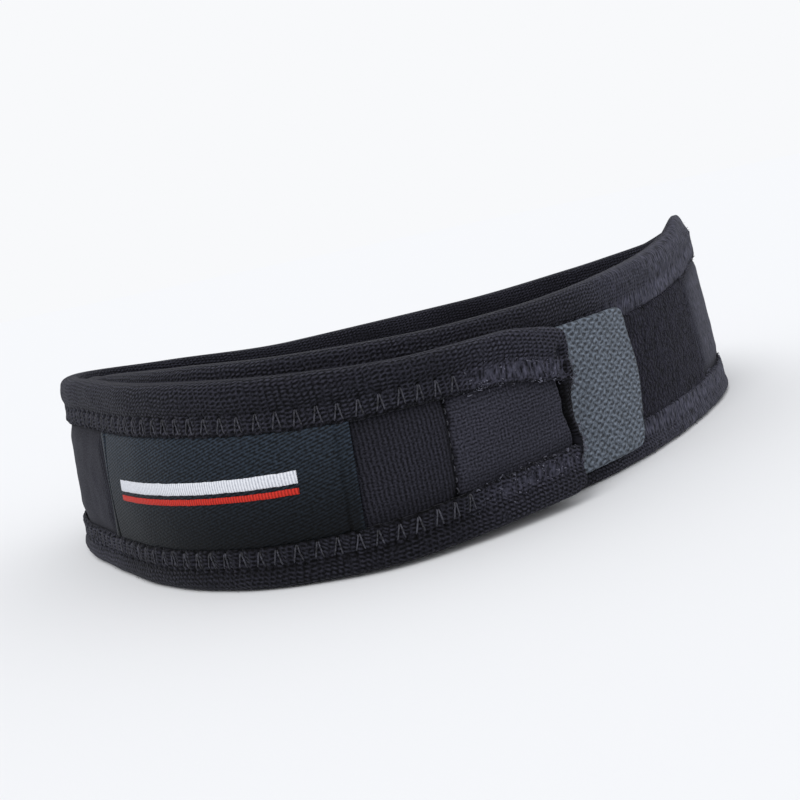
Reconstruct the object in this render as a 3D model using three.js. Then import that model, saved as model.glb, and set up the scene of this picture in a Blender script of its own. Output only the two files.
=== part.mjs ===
// A knee strap worn just below the kneecap, closed into a ring as it is on the leg.
// Units are millimetres, +Z is up. The ring stands on its lower edge at z = 0 and the open
// middle, where the leg goes in, runs from top to bottom. The front of the shin faces -Y.
// The strap starts at the left of the ring, runs to the right past the front, goes round the
// back, comes over its own start at the left and ends on the front, where a tab of hook tape
// holds it on a field of loop pile.
import * as THREE from 'three';

// Driving sizes of the ring
const ringWidth = 126.3;        // side to side, along the middle of the band
const ringDepth = 95.7;         // front to back, along the middle of the band
const flareDegrees = 4.9;       // the wall leans inward toward its upper edge, as the leg does
const bandHeight = 32.0;        // from the lower edge to the upper edge at the start
const overlapLength = 112.3;    // the part of the strap that lies over its own start

// Driving sizes of the cloth
const panelThick = 1.8;         // foam-backed knit panel
const bindingCloth = 0.6;       // knit binding folded over the panel's edges
const clearance = 0.3;          // between pieces that lie on each other
const topFace = 7.9;            // how far the upper binding comes down over the panel
const footFace = 7.2;           // how far the lower binding comes up over the panel
const endFace = 0.8;            // how far the strip on each end of the strap goes over the panel
const seamGap = 0.3;            // between the main panel and the tail panel at their seam
const edgeChamfer = 0.55;       // rounding of the folded edge of a binding
const cornerRadius = 2.6;       // rounding of the corners of the outer end

// Driving sizes of what is sewn on
const tailLength = 21.6;        // from the seam to the outer end
const hookThick = 0.8;
const hookReach = 21.0;         // how far the grey tab stands out past the outer end
const hookHidden = 20.0;        // how far the hook tape runs back under the tail
const hookHeight = 24.2;
const hookFoot = 2.8;           // from the lower edge of the band to the tape's lower edge
const hookCorner = 1.6;         // cut corners at the free side of the tab
const loopThick = 0.6;
const loopStart = 84.0;         // from the inner end of the strap to the loop field
const loopLength = 78.5;
const labelThick = 0.5;
const labelLength = 48.2;
const labelToSeam = 12.7;       // from the label's right side to the seam
const labelInset = 0.3;         // between the label and the bindings above and below it

// Plan of the ring at its lower edge, middle of the band: x as a share of the ring's width and
// y as a share of its depth, in equal steps of the way round, from the left to the front.
const PLAN = [
  { x: -0.4575, y: 0.1124 }, { x: -0.4350, y: -0.0026 }, { x: -0.3915, y: -0.1058 },
  { x: -0.3428, y: -0.2072 }, { x: -0.2893, y: -0.3042 }, { x: -0.2208, y: -0.3828 },
  { x: -0.1380, y: -0.4310 }, { x: -0.0476, y: -0.4326 }, { x: 0.0395, y: -0.3986 },
  { x: 0.1212, y: -0.3460 }, { x: 0.1969, y: -0.2795 }, { x: 0.2663, y: -0.2018 },
  { x: 0.3295, y: -0.1154 }, { x: 0.3868, y: -0.0222 }, { x: 0.4387, y: 0.0764 },
  { x: 0.4855, y: 0.1794 }, { x: 0.5192, y: 0.2880 }, { x: 0.5318, y: 0.4057 },
  { x: 0.5020, y: 0.5138 }, { x: 0.4205, y: 0.5609 }, { x: 0.3298, y: 0.5558 },
  { x: 0.2399, y: 0.5369 }, { x: 0.1509, y: 0.5122 }, { x: 0.0625, y: 0.4835 },
  { x: -0.0255, y: 0.4530 }, { x: -0.1137, y: 0.4232 }, { x: -0.2023, y: 0.3958 },
  { x: -0.2899, y: 0.3635 }, { x: -0.3712, y: 0.3104 }, { x: -0.4349, y: 0.2257 },
];

// Upper edge of the band, as shares of its height at the start, at shares of one turn.
// The first turn is the inner layer and the part past 1 is the outer layer.
const UPPER_EDGE = [
  { turn: 0.000, high: 0.990 }, { turn: 0.075, high: 0.994 }, { turn: 0.150, high: 1.005 },
  { turn: 0.200, high: 0.986 }, { turn: 0.240, high: 0.966 }, { turn: 0.280, high: 0.950 },
  { turn: 0.315, high: 0.950 }, { turn: 0.354, high: 0.962 }, { turn: 0.390, high: 0.984 },
  { turn: 0.442, high: 1.018 }, { turn: 0.480, high: 1.058 }, { turn: 0.538, high: 1.125 },
  { turn: 0.590, high: 1.100 }, { turn: 0.660, high: 0.960 }, { turn: 0.740, high: 0.870 },
  { turn: 0.850, high: 0.860 }, { turn: 0.930, high: 0.910 }, { turn: 1.000, high: 0.955 },
  { turn: 1.050, high: 0.968 }, { turn: 1.100, high: 0.967 }, { turn: 1.142, high: 0.962 },
  { turn: 1.173, high: 0.944 }, { turn: 1.212, high: 0.910 }, { turn: 1.260, high: 0.877 },
  { turn: 1.295, high: 0.877 }, { turn: 1.313, high: 0.850 }, { turn: 1.326, high: 0.825 },
];

// The lower edge of the outer layer rises toward its end, and the seams and ends across the
// strap lean over there: back is the distance from the outer end as a share of the overlap.
const TAIL_SHAPE = [
  { back: 1.00, rise: 0.000, lean: 0.00 }, { back: 0.45, rise: 0.000, lean: 0.02 },
  { back: 0.25, rise: 0.018, lean: 0.07 }, { back: 0.10, rise: 0.042, lean: 0.11 },
  { back: 0.00, rise: 0.050, lean: 0.13 },
];

const stepsPerTurn = 96;
const flare = THREE.MathUtils.degToRad(flareDegrees);
const bandThick = panelThick + 2 * (clearance + bindingCloth);
const layerPitch = bandThick + clearance;
const hookPitch = layerPitch + hookThick + clearance;

// The ring's middle line, walked once at its true length
const planCurve = new THREE.CatmullRomCurve3(
  PLAN.map((row) => new THREE.Vector3(row.x * ringWidth, row.y * ringDepth, 0)),
  true,
  'centripetal',
);
planCurve.arcLengthDivisions = 3000;
const turnLength = planCurve.getLength();
const strapLength = turnLength + overlapLength;
const stationStep = turnLength / stepsPerTurn;

// A smooth line through the rows of a table, read by one column and giving another
function alongTable(rows, key, name, value) {
  const rising = rows[0][key] < rows[rows.length - 1][key];
  const sorted = rising ? rows : [...rows].reverse();
  const last = sorted.length - 1;
  if (value <= sorted[0][key]) return sorted[0][name];
  if (value >= sorted[last][key]) return sorted[last][name];
  const slopeAt = (i) => {
    if (i === 0 || i === last) return 0;
    const before = (sorted[i][name] - sorted[i - 1][name]) / (sorted[i][key] - sorted[i - 1][key]);
    const after = (sorted[i + 1][name] - sorted[i][name]) / (sorted[i + 1][key] - sorted[i][key]);
    return before * after <= 0 ? 0 : (2 * before * after) / (before + after);
  };
  let i = 0;
  while (value > sorted[i + 1][key]) i += 1;
  const width = sorted[i + 1][key] - sorted[i][key];
  const share = (value - sorted[i][key]) / width;
  const rise = 3 * share ** 2 - 2 * share ** 3;
  const fromSlope = (share ** 3 - 2 * share ** 2 + share) * width * slopeAt(i);
  const toSlope = (share ** 3 - share ** 2) * width * slopeAt(i + 1);
  return sorted[i][name] + (sorted[i + 1][name] - sorted[i][name]) * rise + fromSlope + toSlope;
}

// How far the outer layer lies outside the inner one. It climbs over the inner end at the
// left, and a little more where the hook tape lies between the layers.
function layerOffset(s) {
  const climbStart = 0.86 * turnLength;
  const climbEnd = turnLength - 2 * endFace;
  const hookStart = strapLength - hookHidden;
  const hookClimb = 0.1 * overlapLength;
  const first = THREE.MathUtils.smoothstep(s, climbStart, climbEnd);
  const second = THREE.MathUtils.smoothstep(s, hookStart - 2 * hookClimb, hookStart - hookClimb);
  return layerPitch * first + (hookPitch - layerPitch) * second;
}

function tailShape(s, name) {
  if (s < turnLength) return 0;
  const back = (strapLength - s) / overlapLength;
  return alongTable(TAIL_SHAPE, 'back', name, back);
}

// The leaning of the seams counts on the inner layer under the tail too
function leanAt(s) {
  const onOuter = s >= turnLength ? s : s + turnLength;
  return tailShape(Math.min(onOuter, strapLength), 'lean')
    * (1 - THREE.MathUtils.smoothstep(onOuter, strapLength + hookReach, strapLength + 2 * hookReach));
}

function cornerCut(s) {
  const into = s - (strapLength - cornerRadius);
  if (into <= 0) return 0;
  const part = Math.min(into, cornerRadius);
  return cornerRadius - Math.sqrt(Math.max(0, cornerRadius ** 2 - part ** 2));
}

const edgeOfFoot = (s) => tailShape(s, 'rise') * bandHeight + 0.9 * cornerCut(s);
const edgeOfTop = (s) => alongTable(UPPER_EDGE, 'turn', 'high', s / turnLength) * bandHeight
  - 0.35 * cornerCut(s);

// A point of the strap: s along it, h up the wall from z = 0 and r outward from the middle of
// the band. Off is the layer offset, which the pieces between the layers set by themselves.
function place(s, h, r, off) {
  const lean = leanAt(s) * (h - 0.5 * bandHeight);
  const around = (((s + lean) % turnLength) + turnLength) % turnLength;
  const u = around / turnLength;
  const base = planCurve.getPointAt(u);
  const along = planCurve.getTangentAt(u);
  const inward = h * Math.sin(flare);
  const out = off + r - inward;
  return new THREE.Vector3(
    base.x + along.y * out,
    base.y - along.x * out,
    h * Math.cos(flare),
  );
}

function stations(from, to) {
  const list = [from];
  const first = Math.floor(from / stationStep) + 1;
  for (let k = first; k * stationStep < to; k += 1) {
    const at = k * stationStep;
    const clear = at - from > 0.25 * stationStep && to - at > 0.25 * stationStep;
    if (clear) list.push(at);
  }
  if (to > strapLength - cornerRadius && from < strapLength - cornerRadius) {
    for (const share of [1, 0.75, 0.5, 0.25]) list.push(strapLength - share * cornerRadius);
  }
  list.push(to);
  const sorted = [...new Set(list)].filter((v) => v <= to).sort((a, b) => a - b);
  return sorted.filter((v, i) => i === 0 || v - sorted[i - 1] > 0.05);
}

// A closed body swept along the strap. section(s) gives the outline at s as points (r, h),
// always the same number of them and turning the same way.
function sweep(from, to, section, offsetAt = layerOffset) {
  const rows = stations(from, to);
  const positions = [];
  const index = [];
  const count = section(from).length;
  for (const s of rows) {
    for (const [r, h] of section(s)) positions.push(...place(s, h, r, offsetAt(s)).toArray());
  }
  for (let i = 0; i + 1 < rows.length; i += 1) {
    for (let j = 0; j < count; j += 1) {
      const a = i * count + j;
      const b = i * count + ((j + 1) % count);
      index.push(a, b, b + count, a, b + count, a + count);
    }
  }
  return closedBody(positions, index, section(from), (rows.length - 1) * count);
}

// Closes both ends of a swept skin and makes the body. The last outline starts at vertex last.
function closedBody(positions, index, outline, last) {
  const flat = outline.map(([x, y]) => new THREE.Vector2(x, y));
  const turned = THREE.ShapeUtils.isClockWise(flat);
  for (const cap of THREE.ShapeUtils.triangulateShape(flat, [])) {
    const [a, b, c] = turned ? [...cap].reverse() : cap;
    index.push(c, b, a);
    index.push(last + a, last + b, last + c);
  }
  const geometry = new THREE.BufferGeometry();
  geometry.setAttribute('position', new THREE.Float32BufferAttribute(positions, 3));
  geometry.setIndex(index);
  return outward(geometry);
}

// Turns every face out if the body's volume comes out negative
function outward(geometry) {
  const p = geometry.attributes.position;
  const index = geometry.index.array;
  let volume = 0;
  const a = new THREE.Vector3();
  const b = new THREE.Vector3();
  const c = new THREE.Vector3();
  for (let i = 0; i < index.length; i += 3) {
    a.fromBufferAttribute(p, index[i]);
    b.fromBufferAttribute(p, index[i + 1]);
    c.fromBufferAttribute(p, index[i + 2]);
    volume += a.dot(b.cross(c));
  }
  if (volume < 0) {
    for (let i = 0; i < index.length; i += 3) {
      [index[i], index[i + 1]] = [index[i + 1], index[i]];
    }
  }
  geometry.computeVertexNormals();
  return geometry;
}

const halfPanel = panelThick / 2;
const halfSlot = halfPanel + clearance;
const halfBand = halfSlot + bindingCloth;

// Panel between the two folded edges
function panelSection(s) {
  const low = edgeOfFoot(s) + bindingCloth + clearance;
  const high = edgeOfTop(s) - bindingCloth - clearance;
  return [[-halfPanel, low], [halfPanel, low], [halfPanel, high], [-halfPanel, high]];
}

// Binding folded over the upper edge, a U that opens downward
function topSection(s) {
  const top = edgeOfTop(s);
  const hem = alongTable(UPPER_EDGE, 'turn', 'high', s / turnLength) * bandHeight - topFace;
  const slot = top - bindingCloth;
  return [
    [halfBand, hem], [halfBand, top - 1.5 * edgeChamfer],
    [halfBand - 0.35 * edgeChamfer, top - 0.45 * edgeChamfer],
    [halfBand - edgeChamfer, top], [edgeChamfer - halfBand, top],
    [0.35 * edgeChamfer - halfBand, top - 0.45 * edgeChamfer], [-halfBand, top - 1.5 * edgeChamfer],
    [-halfBand, hem], [-halfSlot, hem], [-halfSlot, slot], [halfSlot, slot], [halfSlot, hem],
  ];
}

// Binding folded over the lower edge, a U that opens upward, with a flat to stand on
function footSection(s) {
  const foot = edgeOfFoot(s);
  const hem = tailShape(s, 'rise') * bandHeight + footFace;
  const slot = foot + bindingCloth;
  return [
    [halfBand, hem], [halfSlot, hem], [halfSlot, slot], [-halfSlot, slot], [-halfSlot, hem],
    [-halfBand, hem], [-halfBand, foot + 1.5 * edgeChamfer],
    [0.35 * edgeChamfer - halfBand, foot + 0.45 * edgeChamfer], [edgeChamfer - halfBand, foot],
    [halfBand - edgeChamfer, foot], [halfBand - 0.35 * edgeChamfer, foot + 0.45 * edgeChamfer],
    [halfBand, foot + 1.5 * edgeChamfer],
  ];
}

// Strip folded over an end of the panel, between the two bindings. It is a U in plan: dir is 1
// at the outer end and -1 at the inner end.
function endStrip(end, dir) {
  const levels = 6;
  const tip = end;
  const slot = end - dir * bindingCloth;
  const hem = end - dir * (bindingCloth + clearance + endFace);
  const outline = [
    [tip, edgeChamfer - halfBand], [tip, halfBand - edgeChamfer],
    [tip - dir * edgeChamfer, halfBand], [hem, halfBand], [hem, halfSlot], [slot, halfSlot],
    [slot, -halfSlot], [hem, -halfSlot], [hem, -halfBand], [tip - dir * edgeChamfer, -halfBand],
  ];
  const positions = [];
  const index = [];
  const low = tailShape(end, 'rise') * bandHeight + footFace + clearance;
  const high = alongTable(UPPER_EDGE, 'turn', 'high', end / turnLength) * bandHeight - topFace - clearance;
  for (let i = 0; i <= levels; i += 1) {
    const h = low + ((high - low) * i) / levels;
    for (const [s, r] of outline) positions.push(...place(s, h, r, layerOffset(s)).toArray());
  }
  const count = outline.length;
  for (let i = 0; i < levels; i += 1) {
    for (let j = 0; j < count; j += 1) {
      const a = i * count + j;
      const b = i * count + ((j + 1) % count);
      index.push(a, b, b + count, a, b + count, a + count);
    }
  }
  return closedBody(positions, index, outline, levels * count);
}

// Sheet of cloth lying on a face of the band: from r = inner, thick millimetres outward
function sheetSection(inner, thick, lowAt, highAt) {
  return (s) => {
    const low = lowAt(s);
    const high = highAt(s);
    return [[inner, low], [inner + thick, low], [inner + thick, high], [inner, high]];
  };
}

const object = new THREE.Group();
function addPiece(name, geometry, colour, roughness) {
  const material = new THREE.MeshStandardMaterial({ color: colour, roughness, metalness: 0 });
  const mesh = new THREE.Mesh(geometry, material);
  mesh.name = name;
  object.add(mesh);
}

// Ends of the panels inside the end strips, and the seam between main panel and tail panel
const endInset = bindingCloth + clearance;
const seamAt = strapLength - tailLength;

// Main panel: rib knit on foam, from the inner end round to the seam
addPiece('main_panel', sweep(endInset, seamAt - seamGap / 2, panelSection), '#22222a', 0.95);

// Tail panel: smoother, bluish knit, from the seam to the outer end
addPiece('tail_panel', sweep(seamAt + seamGap / 2, strapLength - endInset, panelSection), '#25262e', 0.95);

// Folded bindings along the whole upper and lower edge
addPiece('top_binding', sweep(0, strapLength, topSection), '#1d1c23', 0.9);
addPiece('bottom_binding', sweep(0, strapLength, footSection), '#1d1c23', 0.9);

// Strips folded over the two ends
addPiece('outer_end_strip', endStrip(strapLength, 1), '#1d1c23', 0.9);
addPiece('inner_end_strip', endStrip(0, -1), '#1d1c23', 0.9);

// Loop pile on the outer face of the inner layer, between the bindings
const loopLow = () => footFace + clearance;
const loopHigh = (s) => edgeOfTop(s) - topFace - clearance;
addPiece(
  'loop_field',
  sweep(loopStart, loopStart + loopLength, sheetSection(halfSlot, loopThick, loopLow, loopHigh)),
  '#17171f',
  1.0,
);

// Hook tape under the tail, standing out past the outer end as the grey tab. It lies on the
// bindings of the inner layer, between the layers.
const hookFrom = overlapLength - hookHidden;
const hookTo = overlapLength + hookReach;
const hookInner = halfBand + clearance;
const cutAt = (s) => Math.max(0, s - (hookTo - hookCorner));
const hookLow = (s) => hookFoot + cutAt(s) * 0.7;
const hookHigh = (s) => hookFoot + hookHeight - cutAt(s) * 0.7;
addPiece(
  'hook_tab',
  sweep(hookFrom, hookTo, sheetSection(hookInner, hookThick, hookLow, hookHigh), () => 0),
  '#5f6972',
  0.8,
);

// Woven label on the outer face of the main panel, its long sides at the bindings' raw edges
const labelTo = seamAt - labelToSeam;
const labelFrom = labelTo - labelLength;
const labelLow = (s) => tailShape(s, 'rise') * bandHeight + footFace + labelInset;
const labelHigh = (s) => edgeOfTop(s) - topFace - labelInset;
addPiece(
  'woven_label',
  sweep(labelFrom, labelTo, sheetSection(halfSlot, labelThick, labelLow, labelHigh)),
  '#14171f',
  0.85,
);

// The ring stands on the floor with the middle of its box over the origin
const box = new THREE.Box3().setFromObject(object, true);
object.position.set(-(box.min.x + box.max.x) / 2, -(box.min.y + box.max.y) / 2, -box.min.z);

export default object;
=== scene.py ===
import math
import bmesh
import bpy
import numpy as np
from mathutils import Matrix, Vector


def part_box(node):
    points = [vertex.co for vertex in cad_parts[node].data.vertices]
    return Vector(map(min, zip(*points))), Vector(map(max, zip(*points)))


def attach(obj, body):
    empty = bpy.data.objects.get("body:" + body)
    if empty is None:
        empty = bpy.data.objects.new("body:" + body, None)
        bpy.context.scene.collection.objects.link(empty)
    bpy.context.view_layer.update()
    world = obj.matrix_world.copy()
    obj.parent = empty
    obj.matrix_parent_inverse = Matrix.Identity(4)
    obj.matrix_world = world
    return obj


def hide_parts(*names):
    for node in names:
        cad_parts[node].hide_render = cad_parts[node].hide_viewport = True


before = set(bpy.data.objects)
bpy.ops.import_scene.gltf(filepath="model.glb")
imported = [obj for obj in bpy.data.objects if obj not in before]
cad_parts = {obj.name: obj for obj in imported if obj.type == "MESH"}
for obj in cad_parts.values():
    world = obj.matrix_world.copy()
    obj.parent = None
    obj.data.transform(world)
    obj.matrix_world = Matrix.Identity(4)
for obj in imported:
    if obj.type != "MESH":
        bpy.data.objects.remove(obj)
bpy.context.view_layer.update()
MM = 0.001


# The studio: a pale floor of card that the ring stands on, seen from a little above and with
# the camera turned, so that the strap climbs to the right. Soft light comes from all round,
# with a soft sun from above and to the front left.
view_down = math.radians(9.0)
view_turn = math.radians(12.0)
view_far = 189.2
view_aim = Vector((-2.783, -3.715, 15.48))
lens_px, picture_px = 1050.0, 800.0
sensor_mm = 36.0

ahead = Vector((0, math.cos(view_down), -math.sin(view_down)))
level = Vector((1, 0, 0))
above = Vector((0, math.sin(view_down), math.cos(view_down)))
right = level * math.cos(view_turn) - above * math.sin(view_turn)
up = level * math.sin(view_turn) + above * math.cos(view_turn)
camera = bpy.data.objects.new("camera", bpy.data.cameras.new("camera"))
camera.data.sensor_width = sensor_mm
camera.data.lens = sensor_mm * lens_px / picture_px
camera.data.clip_start = 0.01
camera.data.clip_end = 20.0
turn = Matrix((right, up, -ahead)).transposed().to_4x4()
camera.matrix_world = Matrix.Translation((view_aim - ahead * view_far) * MM) @ turn
bpy.context.scene.collection.objects.link(camera)
bpy.context.scene.camera = camera


def linear(hex_colour):
    """sRGB hex to the linear colour that the shaders take"""
    parts = [int(hex_colour[i:i + 2], 16) / 255 for i in (1, 3, 5)]
    return tuple(c / 12.92 if c <= 0.04045 else ((c + 0.055) / 1.055) ** 2.4 for c in parts) + (1.0,)


def add_node(tree, kind, links=(), **settings):
    """One node with its settings. Each link is (input name or number, socket or value)."""
    node = tree.nodes.new(kind)
    for name, value in settings.items():
        setattr(node, name, value)
    for key, value in links:
        if isinstance(value, bpy.types.NodeSocket):
            tree.links.new(value, node.inputs[key])
        else:
            node.inputs[key].default_value = value
    return node


world = bpy.data.worlds.new("studio")
bpy.context.scene.world = world
world.use_nodes = True
world.node_tree.nodes["Background"].inputs["Color"].default_value = linear("#f8f9fb")
world.node_tree.nodes["Background"].inputs["Strength"].default_value = 1.0
bpy.context.scene.view_settings.view_transform = "Standard"

# Matte card: its albedo and the sun's strength together give the floor the sky's own white
card_white = 0.78
sky_white = 0.947
sun_height = math.radians(52)
card = bpy.data.materials.new("matte_card")
card.use_nodes = True
card_shader = card.node_tree.nodes["Principled BSDF"]
card_shader.inputs["Base Color"].default_value = (card_white * 0.992, card_white, card_white * 1.018, 1)
card_shader.inputs["Roughness"].default_value = 1.0
card_shader.inputs["Specular IOR Level"].default_value = 0.0
reach = 6.0
floor_mesh = bpy.data.meshes.new("studio_floor")
floor_corners = [(-reach, -reach, 0), (reach, -reach, 0), (reach, reach, 0), (-reach, reach, 0)]
floor_mesh.from_pydata(floor_corners, [], [(0, 1, 2, 3)])
floor_mesh.materials.append(card)
floor = bpy.data.objects.new("studio_floor", floor_mesh)
bpy.context.scene.collection.objects.link(floor)

sun = bpy.data.objects.new("soft_sun", bpy.data.lights.new("soft_sun", "SUN"))
sun.data.energy = math.pi * (sky_white / card_white - sky_white) / math.sin(sun_height)
sun.data.angle = math.radians(35)
sun_from = Vector((-0.45 * math.cos(sun_height), -0.89 * math.cos(sun_height), math.sin(sun_height)))
sun.rotation_mode = "QUATERNION"
sun.rotation_quaternion = (-sun_from).to_track_quat("-Z", "Y")
bpy.context.scene.collection.objects.link(sun)


# Main panel: rib knit laminated to thin foam, cut as one long strip and bent into the ring. It
# runs from the hidden inner end, once round the leg and over itself to the cross seam. The
# strap's whole path is worked out here, because every other piece follows the same one.
ring_width, ring_depth = 126.3, 95.7
flare = math.radians(4.9)
band_height = 32.0
overlap_length = 112.3
panel_thick, binding_cloth, clearance = 1.8, 0.6, 0.3
top_face, foot_face, end_face = 7.9, 7.2, 0.8
seam_gap, corner_radius, tail_length = 0.3, 2.6, 21.6
hook_thick, hook_reach, hook_hidden = 0.8, 21.0, 20.0
loop_start, loop_length, loop_thick = 84.0, 78.5, 0.6
label_thick, label_length, label_to_seam, label_inset = 0.5, 48.2, 12.7, 0.3

# The ring's plan, in shares of its width and depth, at equal steps round the foot
PLAN = [
    (-0.4575, 0.1124), (-0.4350, -0.0026), (-0.3915, -0.1058), (-0.3428, -0.2072),
    (-0.2893, -0.3042), (-0.2208, -0.3828), (-0.1380, -0.4310), (-0.0476, -0.4326),
    (0.0395, -0.3986), (0.1212, -0.3460), (0.1969, -0.2795), (0.2663, -0.2018),
    (0.3295, -0.1154), (0.3868, -0.0222), (0.4387, 0.0764), (0.4855, 0.1794),
    (0.5192, 0.2880), (0.5318, 0.4057), (0.5020, 0.5138), (0.4205, 0.5609),
    (0.3298, 0.5558), (0.2399, 0.5369), (0.1509, 0.5122), (0.0625, 0.4835),
    (-0.0255, 0.4530), (-0.1137, 0.4232), (-0.2023, 0.3958), (-0.2899, 0.3635),
    (-0.3712, 0.3104), (-0.4349, 0.2257),
]
# Upper edge: turns along the strap, and height as a share of the band's
UPPER_EDGE = [
    (0.000, 0.950), (0.035, 0.968), (0.080, 0.992), (0.150, 1.005), (0.200, 0.986), (0.240, 0.966),
    (0.280, 0.950), (0.315, 0.950), (0.354, 0.962), (0.390, 0.984), (0.442, 1.018),
    (0.480, 1.062), (0.516, 1.126), (0.540, 1.116), (0.574, 1.040), (0.610, 0.962), (0.660, 0.900),
    (0.740, 0.850), (0.850, 0.845), (0.930, 0.912), (1.000, 0.985), (1.050, 0.990), (1.100, 0.974),
    (1.142, 0.962), (1.173, 0.944), (1.212, 0.910), (1.260, 0.877), (1.295, 0.877),
    (1.313, 0.850), (1.326, 0.825),
]
# Tail: share of the overlap back from the outer end, against the lower edge's rise as a share of
# the band's height, the lower hem's widening and the upper hem's lift in mm, and the lean
TAIL_RISE = [(0.00, 0.050), (0.10, 0.042), (0.25, 0.018), (0.45, 0.000), (1.00, 0.000)]
TAIL_NEAR = [(0.00, 1.0), (0.10, 0.8), (0.30, 0.0), (1.00, 0.0)]
TAIL_HEM = [(0.00, -0.2), (0.08, 0.3), (0.15, 0.9), (0.23, 1.1), (0.32, 0.4), (0.46, 0.0),
            (1.00, 0.0)]
TAIL_LEAN = [(0.00, 0.13), (0.10, 0.11), (0.25, 0.07), (0.45, 0.02), (1.00, 0.00)]


def smooth_table(rows, value):
    """Reads a table of two columns along a smooth line that never overshoots its rows"""
    keys = np.array([row[0] for row in rows])
    vals = np.array([row[1] for row in rows])
    steps = np.diff(vals) / np.diff(keys)
    slope = np.zeros(len(keys))
    before, after = steps[:-1], steps[1:]
    same = before * after > 0
    slope[1:-1][same] = 2 * before[same] * after[same] / (before[same] + after[same])
    x = np.clip(np.asarray(value, float), keys[0], keys[-1])
    i = np.clip(np.searchsorted(keys, x, side="right") - 1, 0, len(keys) - 2)
    wide = keys[i + 1] - keys[i]
    t = (x - keys[i]) / wide
    body = vals[i] + (vals[i + 1] - vals[i]) * (3 * t ** 2 - 2 * t ** 3)
    bend = (t ** 3 - 2 * t ** 2 + t) * slope[i] + (t ** 3 - t ** 2) * slope[i + 1]
    return body + bend * wide


def smoothstep(x, low, high):
    t = np.clip((np.asarray(x, float) - low) / (high - low), 0, 1)
    return t * t * (3 - 2 * t)


def bell(x, middle, wide):
    return np.exp(-((np.asarray(x, float) - middle) / wide) ** 2)


def closed_line(points, fine=60):
    """The closed centripetal curve through the plan's points, and its length at each step"""
    p = np.array(points)
    out = []
    for i in range(len(p)):
        a, b, c, d = p[i - 1], p[i], p[(i + 1) % len(p)], p[(i + 2) % len(p)]
        ab, bc, cd = (math.sqrt(np.linalg.norm(q)) for q in (b - a, c - b, d - c))
        start = ((b - a) / ab - (c - a) / (ab + bc) + (c - b) / bc) * bc
        end = ((c - b) / bc - (d - b) / (bc + cd) + (d - c) / cd) * bc
        t = np.linspace(0, 1, fine, endpoint=False)[:, None]
        bend = (3 * (c - b) - 2 * start - end) * t ** 2 + (2 * (b - c) + start + end) * t ** 3
        out.append(b + start * t + bend)
    line = np.vstack(out + [out[0][:1]])
    return line, np.r_[0, np.cumsum(np.linalg.norm(np.diff(line, axis=0), axis=1))]


foot_line, walked = closed_line([(x * ring_width, y * ring_depth) for x, y in PLAN])
heading = np.roll(foot_line[:-1], -1, axis=0) - np.roll(foot_line[:-1], 1, axis=0)
heading = heading / np.linalg.norm(heading, axis=1)[:, None]
heading = np.vstack([heading, heading[:1]])
turn_length = walked[-1]
strap_length = turn_length + overlap_length
seam_at = strap_length - tail_length
half_panel = panel_thick / 2
half_slot = half_panel + clearance
half_band = half_slot + binding_cloth
layer_pitch = 2 * half_band + clearance
hook_pitch = layer_pitch + hook_thick + clearance


def layer_offset(s):
    """How far the outer layer lies outside the inner one, in mm"""
    first = smoothstep(s, 0.86 * turn_length, turn_length - 2 * end_face)
    climb = 0.1 * overlap_length
    tab_start = strap_length - hook_hidden
    second = smoothstep(s, tab_start - 2 * climb, tab_start - climb)
    return layer_pitch * first + (hook_pitch - layer_pitch) * second


def tail_value(rows, s):
    return np.where(s < turn_length, 0.0, smooth_table(rows, (strap_length - s) / overlap_length))


def lean_at(s):
    """How far the wall leans along the strap, in mm for each mm of height"""
    on_outer = np.where(s >= turn_length, s, s + turn_length)
    fade = 1 - smoothstep(on_outer, strap_length + hook_reach, strap_length + 2 * hook_reach)
    return tail_value(TAIL_LEAN, np.minimum(on_outer, strap_length)) * fade


def corner_cut(s):
    """How much the outer end's rounded corners take off each edge, in mm"""
    into = np.clip(s - (strap_length - corner_radius), 0, corner_radius)
    return corner_radius - np.sqrt(np.maximum(0, corner_radius ** 2 - into ** 2))


def foot_at(s):
    return tail_value(TAIL_RISE, s) * band_height + 0.9 * corner_cut(s)


def foot_hem(s):
    """The folded strip's face is a little narrower than the solid's, and widens to the tail"""
    return tail_value(TAIL_RISE, s) * band_height + foot_face - 1.0 + 0.9 * tail_value(TAIL_NEAR, s)


def top_at(s):
    return smooth_table(UPPER_EDGE, s / turn_length) * band_height - 0.35 * corner_cut(s)


def top_hem(s):
    return smooth_table(UPPER_EDGE, s / turn_length) * band_height - top_face + tail_value(TAIL_HEM, s)


def on_strap(s, h, r, off=None):
    """Points in mm: s along the strap, h up its wall, r outward from the middle of the band"""
    s, h, r = np.broadcast_arrays(*(np.asarray(v, float) for v in (s, h, r)))
    off = layer_offset(s) if off is None else off
    around = np.mod(s + lean_at(s) * (h - 0.5 * band_height), turn_length)
    x, y = (np.interp(around, walked, foot_line[:, k]) for k in (0, 1))
    ax, ay = (np.interp(around, walked, heading[:, k]) for k in (0, 1))
    out = off + r - h * math.sin(flare)
    return np.stack([x + ay * out, y - ax * out, h * math.cos(flare)], axis=-1)


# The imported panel's corner tells where the ring stands in the shared frame
probe = np.linspace(half_panel, seam_at - seam_gap / 2, 1600)
probe_low = on_strap(probe, foot_at(probe) + half_panel, half_panel).min(axis=0)
ring_shift = np.array(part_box("main_panel")[0]) / MM - probe_low
ring_shift[2] = 0


def uneven(u, v, length, seed):
    """Soft unevenness from about -1 to 1, with its wavelength in mm and a fixed seed"""
    rng = np.random.default_rng(seed)
    total = 0
    for _ in range(7):
        way, start = rng.uniform(0, math.tau, 2)
        size = length * rng.uniform(0.7, 1.5)
        total = total + np.sin(math.tau * (u * math.cos(way) + v * math.sin(way)) / size + start)
    return total / 4.5


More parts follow.
